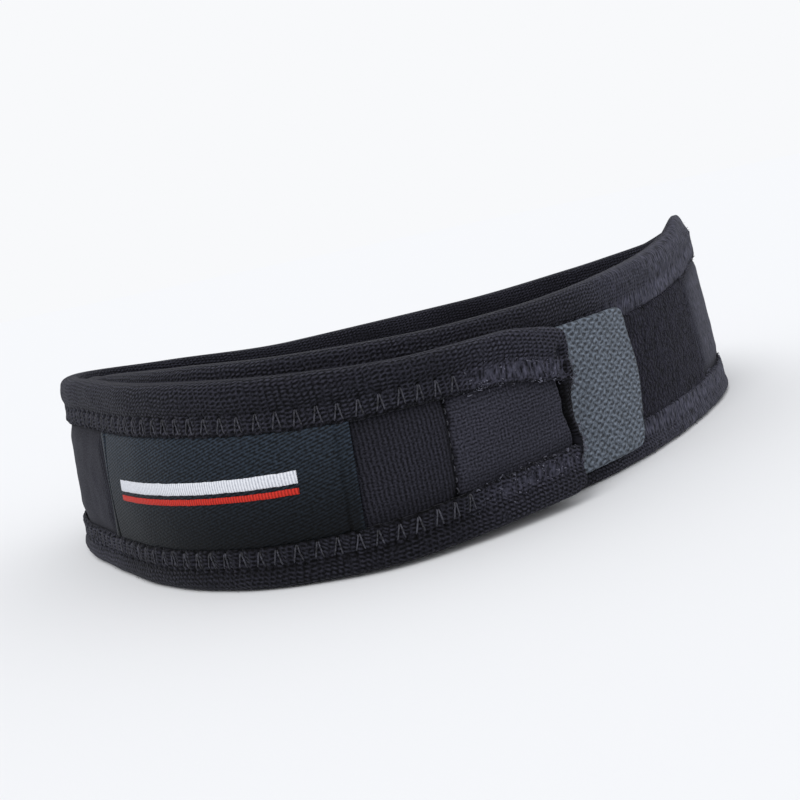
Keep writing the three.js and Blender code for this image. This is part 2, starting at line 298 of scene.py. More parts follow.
def grid_faces(rows, count, round_it=True):
    i = np.arange(rows - 1)[:, None] * count
    j = np.arange(count if round_it else count - 1)[None, :]
    k = (j + 1) % count
    return np.stack([i + j, i + k, i + k + count, i + j + count], axis=-1).reshape(-1, 4).tolist()


def cloth_mesh(name, points_mm, faces, cloth_place, tone, material):
    """A mesh object at the origin, with a map of the cloth in mm and a tone for its wear and for its
    painted light and shade
    """
    mesh = bpy.data.meshes.new(name)
    mesh.from_pydata(((points_mm + ring_shift) * MM).tolist(), [], faces)
    corners = np.empty(len(mesh.loops), dtype=np.int32)
    mesh.loops.foreach_get("vertex_index", corners)
    layer = mesh.uv_layers.new(name="cloth_mm")
    layer.data.foreach_set("uv", np.asarray(cloth_place, dtype=np.float32)[corners].ravel())
    wear_and_painted_light = mesh.attributes.new("tone", "FLOAT", "POINT")
    wear_and_painted_light.data.foreach_set("value", np.asarray(tone, dtype=np.float32))
    mesh.polygons.foreach_set("use_smooth", np.ones(len(mesh.polygons), dtype=bool))
    mesh.materials.append(material)
    work = bmesh.new()
    work.from_mesh(mesh)
    bmesh.ops.recalc_face_normals(work, faces=work.faces)
    work.to_mesh(mesh)
    work.free()
    made = bpy.data.objects.new(name, mesh)
    bpy.context.scene.collection.objects.link(made)
    return made


def wrapped_cloth(name, rings, material):
    """A closed body of rings (s, h, r, q, off, tone), one ring at each place along the strap"""
    s, h, r, q, off, tone = np.broadcast_arrays(*rings)
    rows, count = s.shape
    points = on_strap(s, h, r, off)
    points = np.vstack([points.reshape(-1, 3), points[0].mean(axis=0), points[-1].mean(axis=0)])
    place = np.stack([s, q], axis=-1)
    place = np.vstack([place.reshape(-1, 2), place[0, 0], place[-1, 0]])
    tone = np.r_[tone.ravel(), tone[0, 0], tone[-1, 0]]
    faces = grid_faces(rows, count)
    last = (rows - 1) * count
    for a in range(count):
        b = (a + 1) % count
        faces.append((rows * count, b, a))
        faces.append((rows * count + 1, last + a, last + b))
    return cloth_mesh(name, points, faces, place, tone, material)


def cloth_material(name, rough, sheen, sheen_hex):
    """A Principled shader for cloth, which waits for its pattern"""
    material = bpy.data.materials.new(name)
    material.use_nodes = True
    tree = material.node_tree
    shader = tree.nodes["Principled BSDF"]
    shader.inputs["Roughness"].default_value = rough
    shader.inputs["Specular IOR Level"].default_value = 0.1
    shader.inputs["Sheen Weight"].default_value = sheen
    shader.inputs["Sheen Roughness"].default_value = 0.4
    shader.inputs["Sheen Tint"].default_value = linear(sheen_hex)
    cloth = add_node(tree, "ShaderNodeUVMap", uv_map="cloth_mm")
    return material, tree, shader, cloth.outputs["UV"]


def calc(tree, kind, a, b=0.0, c=0.0):
    return add_node(tree, "ShaderNodeMath", [(0, a), (1, b), (2, c)], operation=kind).outputs[0]


def rows_of(tree, place, along, across):
    """A cosine over the cloth, in waves per mm along the strap and across it"""
    pitch = (math.tau * along, math.tau * across, 0)
    dot = add_node(tree, "ShaderNodeVectorMath", [(0, place), (1, pitch)], operation="DOT_PRODUCT")
    return calc(tree, "COSINE", dot.outputs["Value"])


def lumps_of(tree, place, per_mm, detail=2.0):
    """Noise around 0 on the cloth, with per_mm lumps in a millimetre"""
    noise = add_node(tree, "ShaderNodeTexNoise", [("Vector", place), ("Scale", per_mm), ("Detail", detail)],
                     noise_dimensions="2D")
    return calc(tree, "SUBTRACT", noise.outputs[0], 0.5)


def drift_of(tree, place, per_mm, reach_mm):
    """The cloth's place, pushed about a little, so that rows of stitches wander"""
    noise = add_node(tree, "ShaderNodeTexNoise", [("Vector", place), ("Scale", per_mm), ("Detail", 1.0)],
                     noise_dimensions="2D")
    push = add_node(tree, "ShaderNodeVectorMath",
                    [(0, noise.outputs["Color"]), (1, (reach_mm, reach_mm, 0)), (2, place)],
                    operation="MULTIPLY_ADD")
    return push.outputs[0]


def dress(tree, shader, height, dark, light, relief_mm, spread=(0.25, 0.8)):
    """The pattern's height, 0 to 1, gives the yarn's colour and its relief: the low places take the dark
    colour as painted shade and the high ones the light colour as painted highlight. Tone scales the colour
    for wear and for painted light and shade.
    """
    ramp = add_node(tree, "ShaderNodeValToRGB", [("Fac", height)])
    for stop, place, colour in zip(ramp.color_ramp.elements, spread, (dark, light)):
        stop.position = place
        stop.color = linear(colour)
    tone = add_node(tree, "ShaderNodeAttribute", attribute_name="tone")
    wear_and_painted_light = add_node(tree, "ShaderNodeVectorMath",
                    [(0, ramp.outputs["Color"]), ("Scale", tone.outputs["Fac"])], operation="SCALE")
    tree.links.new(wear_and_painted_light.outputs[0], shader.inputs["Base Color"])
    bump = add_node(tree, "ShaderNodeBump", [("Height", height), ("Distance", relief_mm * MM)])
    tree.links.new(bump.outputs["Normal"], shader.inputs["Normal"])


def felt_over(tree, cloth, knit):
    """Where rubbing has made the tone high, combed streaks of down take the knit's place"""
    tone = add_node(tree, "ShaderNodeAttribute", attribute_name="tone").outputs["Fac"]
    paled = add_node(tree, "ShaderNodeMath", [(0, tone), (1, 0.9), (2, -1.35)],
                      operation="MULTIPLY_ADD", use_clamp=True).outputs[0]
    combed = add_node(tree, "ShaderNodeVectorMath", [(0, cloth), (1, (2.3, 0.7, 0))], operation="MULTIPLY")
    down = calc(tree, "MULTIPLY_ADD", lumps_of(tree, combed.outputs[0], 1.0), 1.3, 0.50)
    return calc(tree, "MULTIPLY_ADD", paled, calc(tree, "SUBTRACT", down, knit), knit)


# Polyester rib knit: raised wales run up the strap 0.59 mm apart, crossed by finer courses, so
# the face looks ribbed and dull, with a slight bloom at grazing angles.
rib_knit, tree, shader, cloth = cloth_material("polyester_rib_knit", 0.85, 0.10, "#c3c5d2")
yarn = drift_of(tree, cloth, 0.35, 0.35)
wales = rows_of(tree, yarn, 1 / 0.59, 0.12)
courses = rows_of(tree, yarn, 0.1, 1 / 0.5)
knit = calc(tree, "MULTIPLY_ADD", wales, 0.15, 0.48)
knit = calc(tree, "MULTIPLY_ADD", courses, 0.03, knit)
knit = calc(tree, "MULTIPLY_ADD", lumps_of(tree, cloth, 3.4), 0.95, knit)
dress(tree, shader, felt_over(tree, cloth, knit), "#0b0b0f", "#2e2e37", 0.11)


# Crease inside the outer end: height in mm, and how far back from the end it lies
END_CREASE = [(5.0, 1.2), (8.5, 0.8), (11.5, 1.5), (13.8, 2.3), (17.3, 2.4), (20.2, 2.0), (23.0, 1.9)]
seam_stitch = 1.62
panel_front, panel_back = 64, 22
# Worn stretches of the panel and the bindings, in mm along the strap: where the wear starts, is
# full, fades and is gone
panel_worn = (158, 170, 240, 270)
binding_worn = (106, 150, 215, 245)


def along(s, stretch):
    """1 on a stretch of the strap, with soft ends"""
    starts, full, fades, gone = stretch
    return smoothstep(s, starts, full) * (1 - smoothstep(s, fades, gone))


def end_crease(h):
    return smooth_table(END_CREASE, h) + 0.12 * uneven(h, 0, 2.2, 35)


def panel_puff(s):
    """How far the foam stands up between the hems: nothing under the label, loops or tab"""
    label_end, loop_end = seam_at - label_to_seam, loop_start + loop_length
    label_begin = label_end - label_length
    bare = 1 - smoothstep(s, label_begin - 3, label_begin) + smoothstep(s, label_end, label_end + 3)
    loops = smoothstep(s, loop_start - 8, loop_start) - smoothstep(s, loop_end, loop_end + 3)
    return 0.62 * bare * (1 - loops)


def panel_rings(s):
    """A foam strip whose face stands up softly between the hems, with its edges hidden"""
    s = s[:, None]
    low, high = foot_at(s) + half_panel, top_at(s) - half_panel
    share = np.r_[np.linspace(0, 1, panel_front), np.linspace(1, 0, panel_back)][None, :]
    front = np.r_[np.ones(panel_front), np.zeros(panel_back)][None, :]
    h = low + (high - low) * share
    inside = smoothstep(h, foot_hem(s) - 0.6, foot_hem(s) + 3.0)
    inside = inside * (1 - smoothstep(h, top_hem(s) - 3.0, top_hem(s) + 0.6))
    puff = panel_puff(s) * inside * front
    crumple = (0.07 * uneven(s, h, 8.0, 3) + 0.035 * uneven(s, h, 3.0, 4)) * (0.3 + inside)
    stitch_dip = 0.5 + 0.5 * np.cos(math.tau * (h - 9.0) / seam_stitch)
    seam_dip = -(0.50 + 0.16 * stitch_dip) * bell(s, seam_at, 0.75) * front
    seam_lift = 0.16 * (bell(s, seam_at - 2.0, 1.1) + bell(s, seam_at + 2.1, 1.2)) * front * inside
    gone = strap_length - end_crease(h)
    edge_dip = -0.9 * smoothstep(s, gone - 0.9, gone) * front
    r = (2 * front - 1) * half_panel + puff + crumple + seam_dip + seam_lift + edge_dip
    end = smoothstep(s, gone - 0.8, gone)
    seam_line = seam_at + 0.15 * uneven(h, 0, 2.2, 6)
    right = along(s, panel_worn)
    left = 1 - smoothstep(s, turn_length + 22, turn_length + 32)
    # Painted shade: darker in the crease inside the outer end, in the seam's groove and where the face runs
    # under the hems
    tone = 1 - 0.8 * end - 0.8 * bell(s, seam_line, 0.42) - 0.3 * (1 - inside)
    combed = 0.30 * uneven(s, 0.3 * h, 1.2, 7)
    # The worn stretch is paler with combed down; the left of the outer layer is a little paler as painted
    # sheen
    tone = tone + (1.5 + combed) * right * inside + 0.08 * left * (s > 300)
    return s, h, r, h, layer_offset(s), tone * (1 + 0.10 * uneven(s, h, 14.0, 5))


end_inset = 0.9
fine_from = 362.0
main_s = np.r_[np.arange(end_inset, fine_from, 0.9), np.arange(fine_from, seam_at - 4, 0.6),
               np.linspace(seam_at - 4, seam_at - 0.05, 26)]
main_panel = wrapped_cloth("knit_main_panel", panel_rings(main_s), rib_knit)
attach(main_panel, "root")
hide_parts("main_panel")


# Tail panel: a smoother, slightly bluish jersey on the same foam, butted to the main panel and
# joined to it by a straight stitch. It carries the last 22 mm, where the free end is pressed shut.

# Polyester jersey: courses 0.54 mm apart run along the strap over faint wales, so the face looks
# smooth, flat and a little blue
fine_jersey, tree, shader, cloth = cloth_material("polyester_jersey", 0.85, 0.12, "#bfc6d8")
yarn = drift_of(tree, cloth, 0.4, 0.35)
courses = rows_of(tree, yarn, 0.10, -1 / 0.54)
wales = rows_of(tree, yarn, 1 / 0.59, 0.08)
knit = calc(tree, "MULTIPLY_ADD", courses, 0.11, 0.48)
knit = calc(tree, "MULTIPLY_ADD", wales, 0.05, knit)
knit = calc(tree, "MULTIPLY_ADD", lumps_of(tree, cloth, 3.4), 0.95, knit)
dress(tree, shader, knit, "#131318", "#3e3e49", 0.08)
tail_s = np.r_[np.linspace(seam_at + 0.05, seam_at + 4, 26),
               np.linspace(seam_at + 4.4, strap_length - 3.8, 34),
               np.linspace(strap_length - 3.6, strap_length - end_inset, 18)]
tail_panel = wrapped_cloth("knit_tail_panel", panel_rings(tail_s), fine_jersey)
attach(tail_panel, "root")
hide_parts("tail_panel")


def new_tree(name, sizes):
    """A geometry tree with a guide coming in, and one named number for each of its sizes"""
    tree = bpy.data.node_groups.new(name, "GeometryNodeTree")
    tree.interface.new_socket("Guide", in_out="INPUT", socket_type="NodeSocketGeometry")
    for label in sizes:
        tree.interface.new_socket(label, in_out="INPUT", socket_type="NodeSocketFloat")
    tree.interface.new_socket("Made", in_out="OUTPUT", socket_type="NodeSocketGeometry")
    return tree, tree.nodes.new("NodeGroupInput").outputs


def end_tree(tree, grown, material):
    """The last nodes of each tree: plain geometry with its material"""
    real = add_node(tree, "GeometryNodeRealizeInstances", [(0, grown)])
    smooth = add_node(tree, "GeometryNodeSetShadeSmooth", [("Geometry", real.outputs[0])])
    dressed = add_node(tree, "GeometryNodeSetMaterial",
                       [("Geometry", smooth.outputs[0]), ("Material", material)])
    add_node(tree, "NodeGroupOutput", [(0, dressed.outputs[0])])


def grow(name, guide, tree, sizes):
    """Runs a tree on its guide, keeps the result as a plain mesh and removes the guide"""
    modifier = guide.modifiers.new(tree.name, "NODES")
    modifier.node_group = tree
    for item in tree.interface.items_tree:
        if item.in_out == "INPUT" and item.name in sizes:
            modifier[item.identifier] = sizes[item.name]
    graph = bpy.context.evaluated_depsgraph_get()
    mesh = bpy.data.meshes.new_from_object(guide.evaluated_get(graph), depsgraph=graph)
    guide.modifiers.remove(modifier)
    bpy.data.objects.remove(guide)
    mesh.name = name
    made = bpy.data.objects.new(name, mesh)
    bpy.context.scene.collection.objects.link(made)
    return made


def thread_tree(material):
    """Follows each line of the guide with a round thread"""
    tree, given = new_tree("round_thread", ["Thread radius"])
    line = add_node(tree, "GeometryNodeMeshToCurve", [("Mesh", given["Guide"])])
    ring = add_node(tree, "GeometryNodeCurvePrimitiveCircle",
                    [("Resolution", 6), ("Radius", given["Thread radius"])])
    tube = add_node(tree, "GeometryNodeCurveToMesh", [("Curve", line.outputs[0]),
                    ("Profile Curve", ring.outputs[0]), ("Fill Caps", True)])
    end_tree(tree, tube.outputs[0], material)
    return tree


def sew(name, runs_mm, tree, radius_mm):
    """One piece of thread. Each run is a row of points, in mm, whose ends dive into the cloth."""
    points = (np.vstack(runs_mm) + ring_shift) * MM
    lines = []
    first = 0
    for run in runs_mm:
        lines += [(i, i + 1) for i in range(first, first + len(run) - 1)]
        first += len(run)
    mesh = bpy.data.meshes.new(name + "_guide")
    mesh.from_pydata(points.tolist(), lines, [])
    guide = bpy.data.objects.new(name + "_guide", mesh)
    bpy.context.scene.collection.objects.link(guide)
    made = grow(name, guide, tree, {"Thread radius": radius_mm * MM})
    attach(made, "root")


# Spun polyester sewing thread: dull, mottled dark and grey as its twisted plies turn to the light
sewing_thread = bpy.data.materials.new("spun_polyester_thread")
sewing_thread.use_nodes = True
tree = sewing_thread.node_tree
shader = tree.nodes["Principled BSDF"]
shader.inputs["Roughness"].default_value = 0.6
shader.inputs["Specular IOR Level"].default_value = 0.35
shader.inputs["Sheen Weight"].default_value = 0.12
shader.inputs["Sheen Tint"].default_value = linear("#c8cad6")
place = add_node(tree, "ShaderNodeTexCoord").outputs["Object"]
plies = add_node(tree, "ShaderNodeTexNoise", [("Vector", place), ("Scale", 2600.0), ("Detail", 1.0)])
ramp = add_node(tree, "ShaderNodeValToRGB", [("Fac", plies.outputs[0])])
ramp.color_ramp.elements[0].position = 0.35
ramp.color_ramp.elements[0].color = linear("#0f0f13")
ramp.color_ramp.elements[1].position = 0.65
ramp.color_ramp.elements[1].color = linear("#3b3b45")
tree.links.new(ramp.outputs["Color"], shader.inputs["Base Color"])
round_thread = thread_tree(sewing_thread)

seam_runs = []
chance = np.random.default_rng(5)
arm = np.linspace(0, 1, 9)
levels = np.arange(foot_hem(seam_at) + 0.2, top_hem(seam_at) - 0.6, seam_stitch)
for low in levels:
    high = low + seam_stitch * 0.5
    s = seam_at + chance.uniform(-0.10, 0.10) + 0.06 * np.sin(math.pi * arm)
    rise = np.sin(math.pi * arm) ** 0.5
    seam_runs.append(on_strap(s, low + (high - low) * arm, half_panel - 0.30 + 0.40 * rise))
sew("seam_thread", seam_runs, round_thread, 0.12)


# Edge bindings: a stretch knit strip folded over each long edge and sewn through with a
# zigzag, so its hem puckers between the stitches while the fold stays round and smooth.
zigzag_pitch = 2.55
zigzag_low, zigzag_high = 0.35, 3.0
arm_spread = 0.62
thread_radius = 0.13
fold_round = 1.30

# Stretch binding knit: loops 0.85 mm apart in rows 0.6 mm apart, each row a little further on
# than the last, with painted highlight on their crowns and painted shade near black between, uneven where
# the zigzag gathers it
binding_knit, tree, shader, cloth = cloth_material("stretch_binding_knit", 0.85, 0.10, "#c6c8d4")
yarn = drift_of(tree, cloth, 0.3, 0.7)
rows = rows_of(tree, yarn, 0.06, 1 / 0.60)
slant = rows_of(tree, yarn, 1.12, -1.60)
wales = rows_of(tree, yarn, 1.22, 0.12)
loops = calc(tree, "MULTIPLY_ADD", rows, 0.17, 0.0)
loops = calc(tree, "MULTIPLY_ADD", slant, 0.15, loops)
loops = calc(tree, "MULTIPLY_ADD", wales, 0.09, loops)
strong = calc(tree, "MULTIPLY_ADD", lumps_of(tree, cloth, 0.5), 2.2, 1.0)
knit = calc(tree, "MULTIPLY_ADD", loops, strong, 0.45)
knit = calc(tree, "MULTIPLY_ADD", lumps_of(tree, cloth, 3.0), 1.0, knit)
dress(tree, shader, felt_over(tree, cloth, knit), "#060609", "#31313b", 0.20, spread=(0.25, 0.9))


def from_peak(s):
    """How far a place is from the nearest upper needle hole, in mm along the strap"""
    return (np.mod(s / zigzag_pitch + 0.5, 1.0) - 0.5) * zigzag_pitch


def brushed(s):
    """Where rubbing has raised the down, 0 to 1: on the tail, and on the right of the inner layer"""
    return smoothstep(s, seam_at - 1, seam_at + 7), along(s, binding_worn)


def needle_pits(s, q, way):
    """Dents at the holes: one where each pair of arms meets, on the upper side of the row, and
    one at each arm's lower end. The row's upper side is its fold side in the top binding."""
    peak, base = (zigzag_high, zigzag_low) if way > 0 else (zigzag_low, zigzag_high)
    off = np.abs(from_peak(s))
    pits = bell(off, 0, 0.30) * bell(q, peak, 0.34)
    pits = pits + bell(off, arm_spread + 0.1, 0.28) * bell(q, base, 0.34)
    return pits * (1 - 0.8 * np.maximum(*brushed(s)))


def under_thread(s, q, way):
    """1 where an arm of the zigzag presses on the cloth"""
    up = np.clip((q - zigzag_low) / (zigzag_high - zigzag_low), 0, 1)
    up = up if way > 0 else 1 - up
    arms = bell(np.abs(from_peak(s)), arm_spread * (1 - up), 0.30)
    return arms * smoothstep(q, 0.0, 0.4) * (1 - smoothstep(q, zigzag_high, zigzag_high + 0.4))


def binding_relief(s, q, way):
    """How far the binding's face stands off its plain form, q mm from the hem"""
    between = 0.16 * np.cos(math.tau * (from_peak(s) / zigzag_pitch - 0.5)) * bell(q, 1.6, 1.3)
    tail, right = brushed(s)
    row = -0.20 * bell(q, 1.9, 1.3) * (1 - right)
    row = row - 0.14 * bell(q, zigzag_high + 0.5, 0.5) * (1 - 0.8 * right)
    corner = -0.9 * bell(s, strap_length - 2.1, 0.8) * bell(q, 4.3, 0.8) * (way > 0)
    roll = 0.28 * bell(q, 5.0, 1.2)
    soft = 0.08 * uneven(s, q, 7.0, 11) + 0.05 * uneven(s, q, 2.2, 12)
    pressed = 0.16 * under_thread(s, q, way) * (1 - 0.8 * np.maximum(tail, right))
    boucle = 0.12 * uneven(s, q, 0.9, 17) * tail * bell(q, 1.7, 1.9)
    combed = 0.07 * uneven(s, 0.3 * q, 1.1, 18) * right * bell(q, 2.2, 2.8)
    between = between * (1 - 0.8 * right)
    return between + row + roll + soft + corner + boucle + combed - pressed - 0.30 * needle_pits(s, q, way)


def end_round(s):
    """The bindings close in a soft round at both ends of the strap"""
    into = np.maximum(np.clip(0.8 - s, 0, 0.8), np.clip(s - (strap_length - 0.8), 0, 0.8)) / 0.8
    return np.maximum(0.10, np.sqrt(np.maximum(0, 1 - into ** 2)))


def binding_tone(s, q, way):
    """Wear makes the sewn row soft grey towards the tail and the worn stretch paler. Painted light: a
    painted highlight along the round fold and painted sheen on the left stretch; painted shade in the
    needle pits and the groove above the row, in the dent at the outer end's top corner, along the hem's
    edge and over the foot binding, which gets less light from above
    """
    tail, right = brushed(s)
    # The left stretch, painted paler as sheen
    left = along(s, (turn_length - 10, turn_length + 5, turn_length + 24, turn_length + 38))
    # Painted highlight along the round fold
    paled = 0.20 * bell(q, 7.6, 1.0)
    sewn = (0.15 + np.maximum(1.0 * tail, 0.6 * right)) * bell(q, 1.8, 1.3)
    # Painted shade in the needle pits and in the groove above the sewn row
    pits = 0.9 * needle_pits(s, q, way) + 0.25 * bell(q, zigzag_high + 0.55, 0.35)
    # Painted shade over the foot binding, as the light falls from above; paler on the left stretch as
    # painted sheen
    lower = 0.22 - 0.55 * left - 0.15 * right if way < 0 else 0.0
    boucle = 0.55 * uneven(s, q, 0.9, 17) * tail * bell(q, 1.7, 1.9)
    combed = 0.40 * uneven(s, 0.3 * q, 1.1, 18) * right * bell(q, 2.2, 2.8)
    # Painted shade in the dent at the outer end's top corner
    corner = 0.9 * bell(s, strap_length - 2.1, 0.8) * bell(q, 4.3, 0.8) * (way > 0)
    tone = 1.0 - lower + paled + sewn + 1.55 * right + 0.60 * tail + 0.25 * left - pits - corner
    tone = tone + boucle + combed
    # Painted shade along the hem's edge, where it tucks against the panel
    return np.maximum(0.12, tone - 0.6 * bell(q, 0, 0.25) * (1 - 0.7 * right))


def binding_rings(s, edge_at, hem_at, way, seed):
    """The folded strip: front face, round fold, back face, then back along its inner side"""
    s = s[:, None]
    edge, hem = edge_at(s), hem_at(s)
    face = np.abs(edge - hem) - fold_round
    q = face * np.linspace(0, 1, 27)[None, :]
    arc = np.linspace(0, math.pi / 2, 7)[None, 1:]
    wavy = 0.12 * uneven(s, 0, 6.0, seed) + 0.10 * np.cos(math.tau * s / zigzag_pitch)
    thin_hem = 0.45 * (1 - np.sqrt(np.clip(1 - (1 - q / 0.6) ** 2, 0, 1))) * (q < 0.6)
    front_r = half_band + binding_relief(s, q, way) - thin_hem
    front_h = hem + way * (q - wavy * np.clip(1 - q / 2.0, 0, 1))
    fold_h = edge - way * fold_round * (1 - np.sin(arc))
    fold_r = half_band - fold_round + (fold_round + binding_relief(s, face, way)) * np.cos(arc)
    fold_q = face + fold_round * arc
    over = 2 * (half_band - fold_round)
    down_h = edge - way * fold_round * (1 - np.cos(arc))
    down_r = -(half_band - fold_round) - fold_round * np.sin(arc)
    down_q = fold_q[:, -1:] + over + fold_round * arc
    back = face * np.linspace(1, 0, 20)[None, 1:]
    inner = (face + fold_round - binding_cloth) * np.array([0.0, 0.3, 0.65, 1.0])[None, :]
    parts = [
        (front_h, front_r, q, binding_tone(s, q, way)),
        (fold_h, fold_r, fold_q, binding_tone(s, fold_q, way)),
        (down_h, down_r + 0 * s, down_q, np.minimum(1.3, binding_tone(s, 7.6 + 0 * down_q, way))),
        (hem + way * back, -half_band - binding_relief(s, back, way), down_q[:, -1:] + face - back,
         np.minimum(1.2, binding_tone(s, back, way))),
        # The slot's inner faces are darker as painted shade
        (hem + way * inner, -half_slot + 0 * inner, 0 * inner, 0.6 + 0 * inner),
        (hem + way * inner[:, ::-1], half_slot + 0 * inner, 0 * inner, 0.6 + 0 * inner),
    ]
    h, r, q, tone = (np.concatenate([part[k] for part in parts], axis=1) for k in range(4))
    if way > 0:
        pinch = bell(s, 0.524 * turn_length, 11.0) * smoothstep(h - hem, 3.5, face + fold_round)
        r = r * (1 - 0.55 * pinch)
        h = h + 0.8 * pinch
    tone = tone * (1 + 0.14 * uneven(s, h, 16.0, seed + 3))
    return s, h, r * end_round(s), q, layer_offset(s), tone


# Name, node, edge, hem, which way the fold lies, seed, and width of the face in mm
BINDINGS = [
    ("top", "top_binding", top_at, top_hem, 1, 21, top_face),
    ("bottom", "bottom_binding", foot_at, foot_hem, -1, 24, foot_face),
]
edge_s = np.r_[np.linspace(0, 1.1, 7), np.arange(1.45, strap_length - corner_radius, 0.36),
               np.linspace(strap_length - corner_radius, strap_length, 16)]
for title, node, edge_at, hem_at, way, seed, face in BINDINGS:
    rings = binding_rings(edge_s, edge_at, hem_at, way, seed)
    piece = wrapped_cloth(title + "_binding_cloth", rings, binding_knit)
    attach(piece, "root")
    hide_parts(node)
    chance = np.random.default_rng(seed + 7)
    runs = []
    peak, base = (zigzag_high, zigzag_low) if way > 0 else (zigzag_low, zigzag_high)
    for k in range(1, int((seam_at + 6) / zigzag_pitch)):
        top_s = k * zigzag_pitch + chance.normal(0, 0.06)
        worn_off = float(np.maximum(*brushed(top_s))) > chance.uniform(0.2, 0.7)
        top_q = peak + chance.normal(0, 0.10)
        for side in (-1, 1):
            foot_s = top_s + side * (arm_spread + chance.normal(0, 0.08))
            s = foot_s + (top_s + side * 0.06 - foot_s) * arm ** 0.8
            q = base + (top_q - base) * arm
            stand = binding_relief(s, q, way) + 0.8 * thread_radius + 0.14 * np.sin(math.pi * arm)
            stand = stand - 0.5 * np.abs(2 * arm - 1) ** 7 - 0.16 * (1 - arm) ** 2
            h = hem_at(s) + way * q
            if not worn_off:
                runs.append(on_strap(s, h, half_band + stand))
            runs.append(on_strap(s, h, -half_band - stand))
    sew(title + "_zigzag_thread", runs, round_thread, thread_radius)


# Fuzz: broken fibres and pulled loops of the same polyester, worked out of the cloth by wear. Each
# is a thin bent tube with its foot in the knit, scattered over the face that it grows from.
def fuzz_tree(name, material, looped):
    """Scatters fibres over the guide: bent hairs with a free end, or small loops of pile"""
    tree, given = new_tree(name, ["Fibres per square metre", "Fibre length", "Fibre radius", "Seed"])
    spots = add_node(tree, "GeometryNodeDistributePointsOnFaces", [("Mesh", given["Guide"]),
                     ("Density", given["Fibres per square metre"]), ("Seed", given["Seed"])])
    long = given["Fibre length"]
    tall = add_node(tree, "ShaderNodeCombineXYZ", [("X", calc(tree, "MULTIPLY", long, 0.10)), ("Z", long)])
    drop = 0.0 if looped else 0.75
    bent = add_node(tree, "ShaderNodeCombineXYZ",
                    [("X", calc(tree, "MULTIPLY", long, 0.75)), ("Z", calc(tree, "MULTIPLY", long, drop))])
    line = add_node(tree, "GeometryNodeCurveQuadraticBezier", [("Resolution", 5 if looped else 3),
                    ("Start", (0, 0, 0)), ("Middle", tall.outputs[0]), ("End", bent.outputs[0])])
    ring = add_node(tree, "GeometryNodeCurvePrimitiveCircle",
                    [("Resolution", 3), ("Radius", given["Fibre radius"])])
    fibre = add_node(tree, "GeometryNodeCurveToMesh", [("Curve", line.outputs[0]),
                     ("Profile Curve", ring.outputs[0]), ("Fill Caps", True)])
    spin = add_node(tree, "FunctionNodeRandomValue", [(0, (-0.7, -0.7, 0)), (1, (0.7, 0.7, math.tau)),
                    ("Seed", 3)], data_type="FLOAT_VECTOR")
    turned = add_node(tree, "FunctionNodeEulerToRotation", [(0, spin.outputs[0])])
    placed = add_node(tree, "FunctionNodeRotateRotation",
                      [(0, spots.outputs["Rotation"]), (1, turned.outputs[0])], rotation_space="LOCAL")
    size = add_node(tree, "FunctionNodeRandomValue", [(2, 0.45), (3, 1.25), ("Seed", 8)], data_type="FLOAT")
    stood = add_node(tree, "GeometryNodeInstanceOnPoints",
                     [("Points", spots.outputs["Points"]), ("Instance", fibre.outputs[0]),
                      ("Rotation", placed.outputs[0]), ("Scale", size.outputs[1])])
    end_tree(tree, stood.outputs[0], material)
    return tree


def face_patches(name, patches):
    """One guide of small faces that lie on the strap. Each patch is a grid of points in mm."""
    points, faces = [], []
    for patch in patches:
        rows, count = patch.shape[:2]
        first = sum(len(p) for p in points)
        faces += [[first + i for i in face] for face in grid_faces(rows, count, round_it=False)]
        points.append(patch.reshape(-1, 3))
    mesh = bpy.data.meshes.new(name)
    mesh.from_pydata(((np.vstack(points) + ring_shift) * MM).tolist(), [], faces)
    guide = bpy.data.objects.new(name, mesh)
    bpy.context.scene.collection.objects.link(guide)
    return guide


def fuzz(name, patches, tree, per_mm2, length_mm, radius_mm, seed, slot):
    """One piece of fibres, grown over its patches of cloth"""
    sizes = {"Fibres per square metre": per_mm2 * 1e6, "Fibre length": length_mm * MM,
             "Fibre radius": radius_mm * MM, "Seed": float(seed)}
    made = grow(name, face_patches(name + "_guide", patches), tree, sizes)
    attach(made, "root")


def binding_patch(hem_at, way, s_from, s_to, q_from, q_to, side=1):
    """A stretch of a binding's front face (side 1) or back face (side -1)"""
    s = np.arange(s_from, s_to, 0.7)[:, None]
    q = np.linspace(q_from, q_to, 9)[None, :]
    patch = on_strap(s, hem_at(s) + way * q, side * (half_band + binding_relief(s, q, way) - 0.05))
    return patch if way * side > 0 else patch[:, ::-1]


# Polyester down: single fibres, dark to mid grey, that blur the knit where it is rubbed or sewn
lint = bpy.data.materials.new("polyester_fibre_down")
lint.use_nodes = True
shader = lint.node_tree.nodes["Principled BSDF"]
shader.inputs["Roughness"].default_value = 0.7
shader.inputs["Specular IOR Level"].default_value = 0.3
place = add_node(lint.node_tree, "ShaderNodeTexCoord").outputs["Object"]
shade = add_node(lint.node_tree, "ShaderNodeTexNoise",
                 [("Vector", place), ("Scale", 900.0), ("Detail", 0.0)])
ramp = add_node(lint.node_tree, "ShaderNodeValToRGB", [("Fac", shade.outputs[0])])
ramp.color_ramp.elements[0].position = 0.35
ramp.color_ramp.elements[0].color = linear("#1c1c22")
ramp.color_ramp.elements[1].position = 0.70
ramp.color_ramp.elements[1].color = linear("#6c6c7b")
lint.node_tree.links.new(ramp.outputs["Color"], shader.inputs["Base Color"])
hairs = fuzz_tree("loose_hairs", lint, looped=False)
tufts = fuzz_tree("pulled_loops", lint, looped=True)
# Where the thick down stands, in mm along the strap
down_on_binding = (116, 220)
down_on_panel = (160.5, 206.0)

